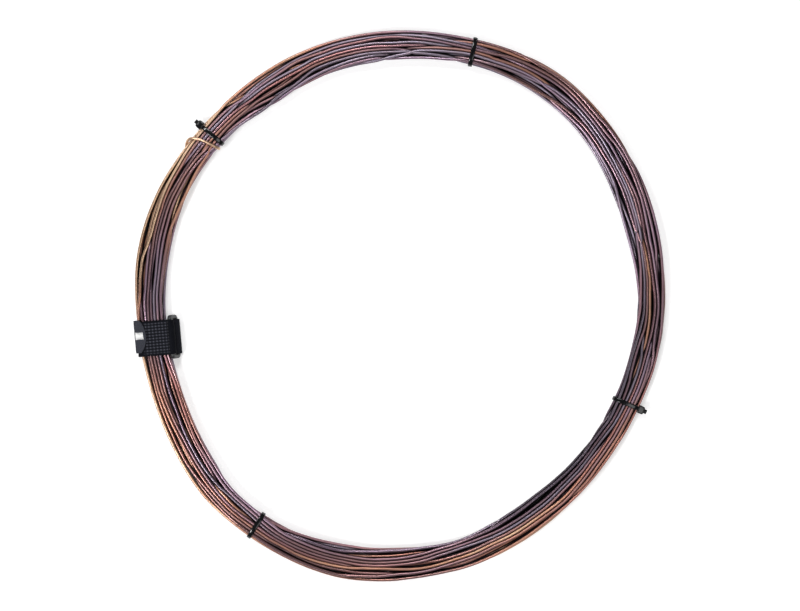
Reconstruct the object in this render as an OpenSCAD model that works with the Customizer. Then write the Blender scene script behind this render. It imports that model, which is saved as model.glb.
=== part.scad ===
// A coil of bare copper wire. Its turns lie side by side in one flat bundle, tied by four
// small cable ties and by one hook-and-loop strap that doubles back through a ring buckle.
// Millimetres, +Z up. The coil lies on z = 0 with the middle of its eye at the origin.

/* [Wire] */
// thickness of the bare wire, 14 gauge
wire_d = 1.63; // [1.3:0.01:2.05]
// turns that show round the outline of the bundle
outline_turns = 20; // [14:1:26]
// places each turn moves round the bundle in one loop
lay = 3; // [0:1:6]
// depth of the groove between two turns, as a share of the wire
groove = 0.36; // [0.1:0.02:0.5]

/* [Coil] */
// mean radius of the bundle's middle line
coil_r = 140.3; // [125:0.1:160]
// how far the loop is shifted to one side
shift_amt = 1.6; // [0:0.1:4]
// direction of that shift
shift_dir = 98.5; // [0:0.5:360]
// how far the loop is pulled oval
oval_amt = 4.0; // [0:0.1:6]
// direction of the long way of the oval
oval_dir = 68; // [0:0.5:180]
// size of the three-sided bend in the loop
three_amt = 1.2; // [0:0.1:3]
// direction of the three-sided bend
three_dir = 23; // [0:0.5:120]
// size of the four-sided bend in the loop
four_amt = 1.1; // [0:0.1:3]
// direction of the four-sided bend
four_dir = 64.5; // [0:0.5:90]
// size of the six-sided bend in the loop
six_amt = 0.55; // [0:0.05:1.5]
// direction of the six-sided bend
six_dir = 49; // [0:0.5:60]

/* [Bundle] */
// width of the bundle where it is free
free_w = 16.3; // [15:0.1:20]
// width of the bundle under a tie
tied_w = 14.2; // [12:0.1:15]
// width of the bundle under the strap
strapped_w = 15.9; // [13:0.1:16.5]
// height of the bundle where it is free
free_h = 6; // [5:0.1:8]
// height of the bundle under a tie
tied_h = 6.6; // [5:0.1:9]
// arc over which the bundle narrows to each tie
pinch_arc = 24; // [12:1:24]
// how much wider the turns lie where they spread at the right
spread_right = 1.8; // [0:0.1:2.5]
// angle of the spread at the right
spread_right_a = 22; // [10:1:35]
// how much wider the turns lie where they spread at the bottom
spread_bottom = 2.8; // [0:0.1:3]
// angle of the spread at the bottom
spread_bottom_a = 257; // [255:1:310]
// how much wider the turns lie where they spread at the left
spread_left = 1.2; // [0:0.1:2.5]
// angle of the spread at the left
spread_left_a = 170; // [160:1:175]
// arc over which the turns spread
spread_arc = 24; // [15:1:30]
// squareness of the bundle's outline, 2 is an ellipse
square = 2.5; // [2:0.1:4]
// mean height of the bundle's underside over the floor
lift_mean = 2.5; // [2.5:0.01:4]
// how much one side of the coil is lifted over the other
tilt_amt = 0.55; // [0:0.01:0.8]
// direction of the lifted side
tilt_dir = 154; // [0:1:360]
// how far the coil is bent out of its plane like a saddle
saddle_amt = 0.8; // [0:0.01:1.3]
// direction of the saddle's high side
saddle_dir = 64.1; // [0:0.1:180]

/* [Wire end] */
// angle where the free end crosses the top of the bundle
tail_a = 139; // [138.9:0.05:141]
// how far round it has come from before crossing
tail_run = 5.5; // [3:0.1:9]
// how far the free end bulges out of the bundle
tail_bulge = 1.2; // [0.5:0.1:3]

/* [Cable ties] */
// angle of the top tie, its head underneath
tie_top_a = 74; // [60:0.1:95]
// angle of the upper left tie, its head on the outer side
tie_upper_left_a = 137.8; // [125:0.1:137.8]
// angle of the lower left tie, its head underneath
tie_lower_left_a = 236.8; // [215:0.1:250]
// angle of the right tie, its head on the outer side
tie_right_a = 336.6; // [320:0.1:350]
// width of the tie band
tie_w = 2.4; // [2:0.1:3]
// thickness of the tie band
tie_t = 1; // [0.8:0.1:1.2]
// gap between band and bundle
tie_gap = 0.15; // [0.1:0.05:0.4]
// width of the head along the coil
head_w = 4.6; // [4:0.1:5.5]
// length of the head along the band
head_l = 4.6; // [4:0.1:6]
// depth of the head away from the bundle
head_d = 3.2; // [2.8:0.1:4]
// length of the cut stub out of an outer head
stub_out = 1.8; // [0.5:0.1:3]
// length of the cut stub out of a head underneath
stub_under = 0; // [0:0.1:0.4]

/* [Strap] */
// angle of the strap on the coil
strap_a = 187.6; // [175:0.1:200]
// width of the strap
strap_w = 19; // [16:0.5:22]
// thickness of one layer of the strap
strap_t = 1.1; // [1:0.1:1.5]
// gap between strap and bundle
strap_gap = 0.3; // [0.3:0.05:0.6]
// gap between the two layers of the strap
layer_gap = 0.1; // [0.08:0.02:0.2]
// place round the bundle where the upper layer ends, 90 is the top
tip_at = 70; // [45:1:80]
// radius of the rounded tip, seen from above
tip_r = 14; // [10:0.5:30]

/* [Buckle] */
// thickness of the buckle's bars
bar_d = 2.4; // [2:0.1:2.8]
// gap between a bar and the strap wrapped round it
bar_gap = 0.1; // [0.05:0.05:0.3]
// side gap between strap and buckle
side_gap = 0.2; // [0.1:0.05:0.5]
// distance of the upper bar from the bundle's side
upper_out = 1.8; // [1.8:0.1:3.5]
// drop of the upper bar below the bundle's top
upper_down = 0.3; // [0:0.1:0.8]
// distance of the lower bar from the bundle's side
lower_out = 4.3; // [4.3:0.1:6]
// rise of the lower bar over the bundle's underside
lower_up = 0.3; // [0:0.1:1]

/* [Hidden] */
rings = 72;
per_turn = 3;
around = outline_turns * per_turn;
wire_r = wire_d / 2;
flatten = 0.2;
e = 2 / square;
steps = 48;
sewn_end = 305;
layer_1 = strap_gap + strap_t / 2;
layer_2 = layer_1 + strap_t + layer_gap;
wrap_r = bar_d / 2 + bar_gap + strap_t / 2;

// the middle line of the bundle: radius, half sizes and height at an angle
function rad(a) = coil_r + shift_amt * cos(a - shift_dir) + oval_amt * cos(2 * (a - oval_dir))
    + three_amt * cos(3 * (a - three_dir)) + four_amt * cos(4 * (a - four_dir))
    + six_amt * cos(6 * (a - six_dir));
function bump(a, c, s) =
    let (d = abs((a - c + 900) % 360 - 180)) d >= s ? 0 : pow(cos(90 * d / s), 2);
function tied(a) = min(1, bump(a, tie_top_a, pinch_arc) + bump(a, tie_upper_left_a, pinch_arc)
    + bump(a, tie_lower_left_a, pinch_arc) + bump(a, tie_right_a, pinch_arc));
function strapped(a) = (1 - tied(a)) * bump(a, strap_a, pinch_arc);
function spread(a) = spread_right * bump(a, spread_right_a, spread_arc)
    + spread_bottom * bump(a, spread_bottom_a, spread_arc)
    + spread_left * bump(a, spread_left_a, spread_arc);
function free(a) = 1 - tied(a) - strapped(a);
function half_w(a) =
    ((free_w + spread(a)) * free(a) + tied_w * tied(a) + strapped_w * strapped(a)) / 2;
function half_h(a) = (free_h * free(a) + tied_h * (1 - free(a)) - flatten * spread(a) * free(a)) / 2;
function lift(a) = lift_mean + tilt_amt * cos(a - tilt_dir) + saddle_amt * cos(2 * (a - saddle_dir));
function mid_z(a) = lift(a) + half_h(a);

// a point on the outline of the bundle at angle a: t goes round it, 0 is the outer side
// and 90 the top, and out is the distance outside the outline
function sgn(v, p) = v < 0 ? -pow(-v, p) : pow(v, p);
function shell(a, t, out) = let (w = half_w(a), h = half_h(a), c = cos(t), s = sin(t),
    nx = sgn(c, 2 - e) / w, nz = sgn(s, 2 - e) / h, n = norm([nx, nz]))
    [w * sgn(c, e) + out * nx / n, h * sgn(s, e) + out * nz / n];
// that point in space
function place(a, p) = [(rad(a) + p[0]) * cos(a), (rad(a) + p[0]) * sin(a), mid_z(a) + p[1]];

// length round the outline against t, so that the turns lie at even distances
function walk(a) = [for (i = 0, s = 0; i <= steps;
    i = i + 1, s = s + norm(shell(a, 360 * i / steps, 0) - shell(a, 360 * (i - 1) / steps, 0)))
    [s, 360 * i / steps]];
function ring(a, moved) = let (table = walk(a), long = table[steps][0])
    [for (k = [0 : outline_turns - 1], m = [0 : per_turn - 1])
        let (s = (k + moved + [0, 0.27, 0.73][m]) / outline_turns,
            t = lookup((s - floor(s)) * long, table))
        place(a, shell(a, t, m == 0 ? -groove * wire_d : -0.05 * wire_d))];

// the wound turns: one closed band, each ring of it a full outline
module turns() {
    pts = [for (i = [0 : rings - 1]) each ring(360 * i / rings, lay * i / rings)];
    faces = [for (i = [0 : rings - 1], j = [0 : around - 1])
        let (j2 = (j + 1) % around, last = i == rings - 1, sh = last ? lay * per_turn : 0,
            p = i * around + j, q = i * around + j2,
            n = last ? 0 : (i + 1) * around,
            p2 = n + (j + sh) % around, q2 = n + (j2 + sh) % around)
        each [[p, q, p2], [q, q2, p2]]];
    polyhedron(points = pts, faces = faces, convexity = 10);
}

// the free end of the wire: it leaves the outer side, bulges, crosses over the top beside
// the upper left tie and tucks in under the inner side
function tail_point(u) =
    let (a = tail_a + tail_run * pow(1 - u, 3),
        out = lookup(u, [[0, -0.7], [0.08, 0.6], [0.22, wire_r + tail_bulge], [0.42, 0.94 * wire_r],
            [0.85, 0.94 * wire_r], [1, -0.6]]))
    place(a, shell(a, -40 + 290 * u, out));
module tail() {
    n = 18;
    for (i = [0 : n - 1]) {
        hull() {
            translate(tail_point(i / n)) sphere(d = wire_d, $fn = 8);
            translate(tail_point((i + 1) / n)) sphere(d = wire_d, $fn = 8);
        }
    }
}

module wire_coil() {
    color([0.52, 0.36, 0.30]) union() {
        turns();
        tail();
    }
}

// a frame at angle a: x points out of the coil, y up, z along it
module at(a) {
    rotate([0, 0, a]) translate([rad(a), 0, mid_z(a)]) rotate([90, 0, 0]) children();
}

module band(a) {
    linear_extrude(height = tie_w, center = true) difference() {
        polygon([for (t = [0 : 10 : 350]) shell(a, t, tie_gap + tie_t)]);
        polygon([for (t = [0 : 10 : 350]) shell(a, t, tie_gap)]);
    }
}

// the head of a tie, its inner face on the bundle: x points away from the bundle
module head(stub) {
    difference() {
        translate([0, -head_l / 2, -head_w / 2]) cube([head_d, head_l, head_w]);
        translate([head_d - 1.2, -head_l / 2 + 0.5, -tie_w / 2 - 0.15])
            cube([2, head_l / 2 - 0.1, tie_w + 0.3]);
        translate([head_d - 1.2, head_l / 2 - 1.1, -tie_w / 2]) cube([2, 0.6, tie_w]);
    }
    translate([head_d - 1.4, -0.35, -tie_w / 2]) cube([1.4 + stub, tie_t, tie_w]);
}

module tie(a, under) {
    color([0.07, 0.07, 0.08]) at(a) union() {
        band(a);
        if (under) translate([0, -half_h(a) - tie_gap, 0]) rotate([0, 0, -90]) head(stub_under);
        else translate([half_w(a) + tie_gap, 0, 0]) head(stub_out);
    }
}
module tie_top() { tie(tie_top_a, true); }
module tie_upper_left() { tie(tie_upper_left_a, false); }
module tie_lower_left() { tie(tie_lower_left_a, true); }
module tie_right() { tie(tie_right_a, false); }

// where the buckle's two bars lie, in the frame at the strap
function upper_bar() = [-half_w(strap_a) - upper_out, half_h(strap_a) - upper_down];
function lower_bar() = [-half_w(strap_a) - lower_out, -half_h(strap_a) + lower_up];
function arc(c, r, a0, a1, n) = [for (i = [0 : n]) c + r * [cos(a0 + (a1 - a0) * i / n),
    sin(a0 + (a1 - a0) * i / n)]];
function run(t0, t1, n, out) = [for (i = [0 : n]) shell(strap_a, t0 + (t1 - t0) * i / n, out)];

// a strip of the strap's thickness along a line of points
function side(pts, i, d) = let (n = len(pts) - 1, v = pts[min(i + 1, n)] - pts[max(i - 1, 0)])
    pts[i] + d * [-v[1], v[0]] / norm(v);
module strip(pts) {
    n = len(pts) - 1;
    linear_extrude(height = strap_w, center = true)
        polygon([for (i = [0 : n]) side(pts, i, strap_t / 2), for (i = [n : -1 : 0]) side(pts, i, -strap_t / 2)]);
}

// the strap: sewn round the upper bar, over the bundle and back underneath, through the
// buckle, round the lower bar and back on itself to a rounded tip on top
module strap() {
    tip = shell(strap_a, tip_at, layer_2);
    color([0.10, 0.10, 0.11]) at(strap_a) union() {
        strip(concat(
            arc(upper_bar(), wrap_r, sewn_end, 95, 12),
            run(112, -162, 34, layer_1),
            arc(lower_bar(), wrap_r, 86, 262, 10),
            run(-128, 30, 22, layer_2)));
        intersection() {
            strip(run(26, tip_at, 6, layer_2));
            translate([tip[0] + tip_r, 0, 0]) rotate([90, 0, 0])
                cylinder(r = tip_r, h = 40, center = true, $fn = 96);
        }
    }
}

module buckle() {
    v = lower_bar() - upper_bar();
    half = strap_w / 2 + side_gap + bar_d / 2;
    color([0.16, 0.16, 0.17]) at(strap_a) translate([upper_bar()[0], upper_bar()[1], 0])
        rotate([0, 0, atan2(v[1], v[0])]) union() {
            for (x = [0, norm(v)]) translate([x, 0, -half]) cylinder(d = bar_d, h = 2 * half, $fn = 32);
            for (z = [-half, half]) {
                translate([0, 0, z]) rotate([0, 90, 0]) cylinder(d = bar_d, h = norm(v), $fn = 32);
                for (x = [0, norm(v)]) translate([x, 0, z]) sphere(d = bar_d, $fn = 32);
            }
        }
}

wire_coil();
tie_top();
tie_upper_left();
tie_lower_left();
tie_right();
strap();
buckle();
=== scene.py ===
import math

import bpy
import numpy as np
from mathutils import Matrix, Vector


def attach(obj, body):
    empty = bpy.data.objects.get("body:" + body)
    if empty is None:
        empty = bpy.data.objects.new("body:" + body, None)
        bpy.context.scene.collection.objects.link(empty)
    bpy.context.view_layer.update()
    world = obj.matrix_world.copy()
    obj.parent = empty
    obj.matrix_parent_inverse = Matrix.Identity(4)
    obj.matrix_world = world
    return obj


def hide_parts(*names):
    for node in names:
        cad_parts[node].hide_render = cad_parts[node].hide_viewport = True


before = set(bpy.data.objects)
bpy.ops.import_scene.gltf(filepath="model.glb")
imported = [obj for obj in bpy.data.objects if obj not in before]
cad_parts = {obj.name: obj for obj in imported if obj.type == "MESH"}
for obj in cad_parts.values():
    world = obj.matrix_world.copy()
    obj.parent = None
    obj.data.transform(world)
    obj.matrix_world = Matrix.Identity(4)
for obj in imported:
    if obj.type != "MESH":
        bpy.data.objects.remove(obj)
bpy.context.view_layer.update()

MM = 0.001

# -------------------- sizes, in mm and degrees, as in the CAD
WIRE_D = 1.63
WIRE_R = WIRE_D / 2
# the bundle's middle line is a circle with bends in it: how much, how many round the coil, where one peaks
COIL_R = 140.3
BENDS = ((1.6, 1, 98.5), (4.0, 2, 68), (1.2, 3, 23), (1.1, 4, 64.5), (0.55, 6, 49))
# the bundle's width and height where it is free, tied or strapped, and the exponent of its rounded section
FREE_W, TIED_W, STRAPPED_W = 16.3, 14.2, 15.9
FREE_H, TIED_H = 6.0, 6.6
SQUARE = 2.5
SQUARE_E = 2 / SQUARE
# it narrows over PINCH to each side of what ties it, and swells over SPREAD: how much wider, coil angle
PINCH, SPREAD = 24, 24
SWELLS = ((1.8, 22), (2.8, 257), (1.2, 170))
FLATTEN = 0.2
# the height of its underside, and how it leans and is bent like a saddle: how much, coil angle of the peak
LIFT_MEAN = 2.5
TILT, TILT_AT = 0.55, 154
SADDLE, SADDLE_AT = 0.8, 64.1
TIES = {"tie_top": 74, "tie_upper_left": 137.8, "tie_lower_left": 236.8, "tie_right": 336.6}
UNDER = ("tie_top", "tie_lower_left")
TIE_W, TIE_T, TIE_GAP = 2.4, 1.0, 0.15
HEAD_W, HEAD_L, HEAD_D, STUB_OUT = 4.6, 4.6, 3.2, 1.8
STRAP_A, STRAP_W, STRAP_T, STRAP_GAP, LAYER_GAP = 187.6, 19.0, 1.1, 0.3, 0.1
TIP_AT, TIP_R, SEWN_END = 70, 14.0, 305
BAR_D, BAR_GAP, SIDE_GAP = 2.4, 0.1, 0.2
UPPER_OUT, UPPER_DOWN, LOWER_OUT, LOWER_UP = 1.8, 0.3, 4.3, 0.3
TAIL_A, TAIL_RUN, TAIL_BULGE = 139, 5.5, 1.2


def cosd(a):
    return np.cos(np.radians(a))


def sind(a):
    return np.sin(np.radians(a))


def rad(a):
    """Radius of the bundle's middle line at coil angle a."""
    return sum((amount * cosd(count * (a - peak)) for amount, count, peak in BENDS), COIL_R)


def bump(a, c, s):
    """1 at coil angle c, falling smoothly to 0 at s degrees to each side."""
    d = np.abs((np.asarray(a, float) - c + 900) % 360 - 180)
    return np.where(d >= s, 0.0, cosd(90 * d / s) ** 2)


def tied(a):
    """1 under a cable tie, 0 away from it."""
    return np.minimum(1.0, sum(bump(a, c, PINCH) for c in TIES.values()))


def strapped(a):
    """1 under the strap, 0 away from it."""
    return (1 - tied(a)) * bump(a, STRAP_A, PINCH)


def spread(a):
    """How much wider the bundle has swollen."""
    return sum(amount * bump(a, c, SPREAD) for amount, c in SWELLS)


def free(a):
    """1 where neither a tie nor the strap holds the bundle."""
    return 1 - tied(a) - strapped(a)


def half_w(a):
    return ((FREE_W + spread(a)) * free(a) + TIED_W * tied(a) + STRAPPED_W * strapped(a)) / 2


def half_h(a):
    return (FREE_H * free(a) + TIED_H * (1 - free(a)) - FLATTEN * spread(a) * free(a)) / 2


def mid_z(a):
    """Height of the bundle's middle above the floor."""
    return LIFT_MEAN + TILT * cosd(a - TILT_AT) + SADDLE * cosd(2 * (a - SADDLE_AT)) + half_h(a)


def spow(v, p):
    """Power of a signed value, its sign kept."""
    return np.sign(v) * np.abs(v) ** p


def shell(a, t, out):
    """Points [n, 2] on the bundle's outline at coil angle a and section angle t, out mm outside it."""
    w, h, c, s = half_w(a), half_h(a), cosd(t), sind(t)
    nx, nz = spow(c, 2 - SQUARE_E) / w, spow(s, 2 - SQUARE_E) / h
    n = np.hypot(nx, nz)
    return np.stack(np.broadcast_arrays(w * spow(c, SQUARE_E) + out * nx / n,
                                        h * spow(s, SQUARE_E) + out * nz / n), -1)


def place(a, p):
    """Section points p at coil angles a, as points in space (mm)."""
    r = rad(a) + p[..., 0]
    return np.stack(np.broadcast_arrays(r * cosd(a), r * sind(a), mid_z(a) + p[..., 1]), -1)


def at(a):
    """Matrix of the frame at coil angle a: x out of the coil, y up, z along it (mm)."""
    return (Matrix.Rotation(math.radians(a), 4, "Z")
            @ Matrix.Translation((float(rad(a)), 0, float(mid_z(a))))
            @ Matrix.Rotation(math.radians(90), 4, "X"))


# -------------------- mesh helpers
def new_object(name, verts, faces, uvs):
    """A mesh object with smooth faces and one UV layer."""
    mesh = bpy.data.meshes.new(name)
    mesh.from_pydata([tuple(v) for v in verts], [], [tuple(f) for f in faces])
    mesh.update()
    layer = mesh.uv_layers.new(name="UVMap")
    layer.data.foreach_set("uv", np.asarray(uvs, np.float32).ravel())
    mesh.polygons.foreach_set("use_smooth", [True] * len(mesh.polygons))
    obj = bpy.data.objects.new(name, mesh)
    bpy.context.scene.collection.objects.link(obj)
    return obj


def set_values(obj, name, values):
    """A value at each vertex, for the materials to read."""
    layer = obj.data.attributes.new(name, "FLOAT", "POINT")
    layer.data.foreach_set("value", values.astype(np.float32))


def grid_faces(rows, cols):
    """Quads and their UV corners (row, col) of a rows x cols grid whose last column joins the first."""
    i = np.arange(rows - 1)[:, None]
    j = np.arange(cols)[None, :]
    k = (j + 1) % cols
    corners = (i * cols + j, i * cols + k, (i + 1) * cols + k, (i + 1) * cols + j)
    quads = np.stack(np.broadcast_arrays(*corners), -1)
    uv = np.stack([np.stack(np.broadcast_arrays(a, b), -1)
                   for a, b in ((i, j), (i, j + 1), (i + 1, j + 1), (i + 1, j))], -2)
    return quads.reshape(-1, 4), uv.reshape(-1, 4, 2).astype(float)


def distances(points):
    """How far along a line each of its points lies."""
    return np.concatenate([[0], np.cumsum(np.linalg.norm(np.diff(points, axis=0), axis=1))])


def directions(line):
    """Unit vectors along a line, one at each of its points."""
    v = np.gradient(line, axis=0)
    return v / np.linalg.norm(v, axis=1)[:, None]


def round_rings(line, normal, side, radius, sides):
    """Rings of points round a line, from two directions across it at each of its points."""
    ang = 2 * np.pi * np.arange(sides) / sides
    return line[:, None] + radius * (np.cos(ang)[None, :, None] * normal[:, None]
                                     + np.sin(ang)[None, :, None] * side[:, None])


# -------------------- the wound wire
TURNS = 28
PER_TURN = 288  # stations round the coil
START = 145.5  # coil angle of the first station
ROWS = (6, 8, 8, 6)  # turns in each row of the first lay, from the top down
PLACES = (3.56, 1.57)  # wires from the bundle's middle to its side, and to its top
HIDDEN_END = (-0.12, -0.15)  # where the last turn ends beside the one before, as shares of the half sides
TAIL_ROOT = np.array((0.93, -0.3))  # where the wound wire starts, as shares of the bundle's half sides
WANDER = (4.0, 1.5)  # how far turns stray from their slots at first, sideways and up
TIED_WANDER = 0.25  # how much of that is left where the bundle is tied
SIDE_ROOM = 0.12  # how much more room a wire takes up sideways than upwards
SQUARER = 0.7  # how much squarer than the CAD band the loose turns may lie
PARTING = 1.7  # how wide the dark gaps between two wires open
PUSH, WEDGE_PUSH = 0.36, 0.4  # how much of an overlap a wire gives way at each step
TRIES = (400, 120, 80, 50)  # steps of the lay at each level, from coarse to fine
HOMING = 0.02  # how much of its way back to its slot a wire goes at each step of the finer levels
OUTWARD = 0.03  # how far wires at the bundle's sides are drawn out at each step
BEND_ROUNDS, SLIT_ROUNDS = 240, 8  # how often bends are drawn out and slits are shut
COOLING = 0.97  # how slowly a bend's heat fades
KINK = 0.35  # a wire bends too sharply above this, in mm a station
EDGE = 0.15  # how far the outermost wires are drawn out beyond the bundle's sides
OVERLAP = 0.06  # how much the wires beside a shut slit overlap in the view
VIEW_LEAN = 0.117  # how much the camera's view leans outward at the bundle, as a slope
WIRE_SIDES = 10
JOINT = 14  # points that join the free end to the wound wire


def smooth_line(p, times):
    """Line p smoothed so many times, its ends kept."""
    for _ in range(times):
        q = p.copy()
        q[2:-2] = (p[:-4] + 4 * p[1:-3] + 6 * p[2:-2] + 4 * p[3:-1] + p[4:]) / 16
        q[1] = (p[0] + 2 * p[1] + p[2]) / 4
        q[-2] = (p[-1] + 2 * p[-2] + p[-3]) / 4
        p = q
    return p


def hump(reach):
    """Weights that rise and fall over reach stations to each side."""
    return np.hanning(2 * reach + 3)[1:-1]


def drift(rng, count, knots, dims):
    """Smooth random values along the whole wire, with knots changes a turn."""
    table = rng.normal(0, 1, (int(TURNS * knots) + 6, dims))
    t = np.arange(count) / (count / TURNS) * knots
    i, f = t.astype(int), (t - t.astype(int))[:, None]
    # the weights of a cubic spline, six times as large
    w = ((1 - f) ** 3, 3 * f ** 3 - 6 * f ** 2 + 4, -3 * f ** 3 + 3 * f ** 2 + 3 * f + 1, f ** 3)
    return 1.6 / 6 * sum(table[i + n] * w[n] for n in range(4))


def upsample(p):
    """Twice as many points along the wire, on a cubic."""
    q = np.empty((2 * len(p), 2))
    q[::2] = p
    q[1:-1:2] = (p[:-1] + p[1:]) / 2
    q[3:-3:2] = (9 * (p[1:-2] + p[2:-1]) - p[:-3] - p[3:]) / 16
    q[-1] = p[-1]
    return q


# where the turns part and leave a dark gap between two wires:
# coil angle and place across the bundle (mm, + outwards) at one end of the gap, then at the other
PARTINGS = [(-8, 1.5, 10, 0.6), (-2, 5.6, 14, 4.6), (11, -5.5, 38, -3.8), (22, 3.2, 42, 2.6),
            (45, 1.0, 62, 1.2), (47, -4.0, 70, -5.6), (62, 3.0, 73, -1.7), (72, 6.2, 84, 5.2),
            (80, -1.4, 98, -2.6), (84, 2.2, 100, 3.4), (108, 2.6, 118, 2.4), (118, 4.0, 136, 4.2),
            (120, -6.3, 132, -6.3), (112, -3.0, 130, -1.6), (140, 1.0, 160, 2.2), (144, -4.6, 162, -3.4),
            (164, -1.8, 181, -1.2), (166, 4.0, 174, 3.8), (193, -4.4, 208, -4.4), (196, 0.4, 212, -0.8),
            (210, 3.9, 221, 3.8), (222, -2.4, 240, -1.4), (238, 3.0, 250, 4.4), (252, 6.2, 263, 6.1),
            (255, -4.3, 270, -4.1), (262, 1.0, 284, 2.2), (276, -1.6, 294, -0.6), (286, 4.6, 298, 5.4),
            (299, -4.8, 315, -3.6), (302, 2.4, 322, 1.4), (325, 5.8, 347, 5.1), (318, -1.2, 334, 0.4),
            (340, -3.8, 356, -2.6)]

# where the wires lie loose of the CAD band's even edges: coil angle, arc to each side, and how far out (mm)
INNER_EDGE = ((2, 19, 1.65), (320, 18, 1.5), (285, 11, 1.1), (120, 17, -1.15), (152, 14, 0.8), (228, 9, 0.8),
              (261, 9, 0.5))
OUTER_EDGE = ((296, 26, 1.0), (224, 12, 0.7), (58, 10, 0.5), (38, 13, -0.45))


def loose_edges(a):
    """How much further from their middle the wires reach than in the CAD band, and how far out that middle
    lies (mm)."""
    inner = sum(amount * bump(a, c, arc) for c, arc, amount in INNER_EDGE)
    outer = sum(amount * bump(a, c, arc) for c, arc, amount in OUTER_EDGE)
    return (outer - inner) / 2, (outer + inner) / 2


def station_angles(per_turn):
    return START + 360 * np.arange(per_turn) / per_turn


def sections(th):
    """How far a wire's middle may lie from the bundle's at coil angles th, and how square that outline is."""
    limits = np.stack([half_w(th) + loose_edges(th)[0], half_h(th)], -1)[None] - WIRE_R
    return limits, SQUARE + SQUARER * free(th)


def wedges(th):
    """Places of the partings at the top of the bundle, [parting, station, 2], and how far off each keeps the
    wires."""
    places, reach = [], []
    wider, out = loose_edges(th)
    for a0, x0, a1, x1 in PARTINGS:
        u = ((th - a0 + 60) % 360 - 60) / (a1 - a0)
        x = x0 + (x1 - x0) * np.clip(u, 0, 1) - out
        y = (half_h(th) - WIRE_R) * (1 - (np.abs(x) / (half_w(th) + wider)) ** 3)
        places.append(np.stack([x, y], -1))
        reach.append((WIRE_D + PARTING) / 2 * np.sin(np.pi * np.clip(u, 0, 1)) ** 1.2)
    return np.array(places), np.array(reach)


def held_in(x, limits, power):
    """Places x drawn back into the bundle's outline."""
    q = ((np.abs(x) / limits) ** power[None, :, None]).sum(-1) ** (1 / power)
    return x / np.maximum(q, 1)[..., None]


def push_apart(x, shape, soft=None, size=WIRE_D):
    """Moves wires that overlap in a section apart, and back into the bundle's outline."""
    limits, power, wide, wedge, reach = shape
    gap = x[:, None] - x[None, :]
    dist = np.maximum(np.sqrt((gap[..., 0] / wide) ** 2 + gap[..., 1] ** 2), 1e-9)
    over = np.clip(size - dist, 0, None)
    over[np.arange(TURNS), np.arange(TURNS)] = 0
    if soft is not None:
        over = over * np.minimum(soft[:, None], soft[None, :])
    move = PUSH * (gap * (over / dist)[..., None]).sum(1)
    gap = x[:, None] - wedge[None]
    dist = np.maximum(np.sqrt((gap ** 2).sum(-1)), 1e-9)
    over = np.clip(reach[None] - dist, 0, None)
    if soft is not None:
        over = over * soft[:, None]
    x = x + move + WEDGE_PUSH * (gap * (over / dist)[..., None]).sum(1)
    return held_in(x, limits, power)


def shape_of(per_turn):
    """What push_apart needs to know of the bundle at each station."""
    th = station_angles(per_turn)
    return *sections(th), 1 + SIDE_ROOM * (0.4 + 0.6 * free(th)), *wedges(th)


def first_lay(rng, per_turn):
    """Each turn moves on by one slot of the rows, and wanders round it."""
    th = station_angles(per_turn)
    limits, _ = sections(th)
    # slots as shares of the bundle's half sides, there and back row by row, and one more for the hidden end
    slots = []
    for row, count in enumerate(ROWS):
        xs = (np.arange(count) - (count - 1) / 2) * (1 if row % 2 else -1)
        slots += [(x / PLACES[0], (1.5 - row) / PLACES[1]) for x in xs]
    slots.append((slots[-1][0] + HIDDEN_END[0], slots[-1][1] + HIDDEN_END[1]))
    slots = np.array(slots)
    u = (np.arange(per_turn) / per_turn)[None, :, None]
    lay = (slots[:-1, None] * (1 - u) + slots[1:, None] * u) * limits
    wander = (drift(rng, TURNS * per_turn, knots=4.0, dims=2) * WANDER).reshape(lay.shape)
    lay += wander * (TIED_WANDER + (1 - TIED_WANDER) * free(th))[None, :, None]
    q = ((np.abs(lay) / limits) ** SQUARE).sum(-1) ** (1 / SQUARE)
    return lay / np.maximum(q, 1)[..., None]


def wind_wire():
    """Where each turn lies in the bundle's section, [turn, station, 2] in mm: one wire, wound by hand,
    whose turns press on each other and keep inside the bundle. The coarse lay is refined three times."""
    rng = np.random.default_rng(7)
    x = home = first_lay(rng, PER_TURN // 8)
    for level, tries in enumerate(TRIES):
        per_turn = PER_TURN // 8 * 2 ** level
        shape = shape_of(per_turn)
        limits = shape[0]
        if level:
            x = upsample(x.reshape(-1, 2)).reshape(TURNS, per_turn, 2)
            home = upsample(home.reshape(-1, 2)).reshape(TURNS, per_turn, 2)
        for step in range(tries):
            # at first the wires straighten most, and on the coarse level they are thin and near their slots
            hot = 1 - step / tries
            p = x.reshape(-1, 2)
            p = p + (0.1 + 0.5 * hot) * (smooth_line(p, 1 if level else 2) - p)
            x = p.reshape(x.shape)
            x = x + (home - x) * (HOMING if level else 0.05 * (0.3 + 0.7 * hot))
            x[..., 0] += OUTWARD * x[..., 0] / limits[..., 0]
            x[0, 0] = TAIL_ROOT * limits[0, 0]
            size = WIRE_D * (1 if level else 0.4 + 0.6 * min(1, step / (0.6 * tries)))
            for _ in range(3):
                x = push_apart(x, shape, size=size)
    return draw_out_bends(x, shape)


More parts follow.
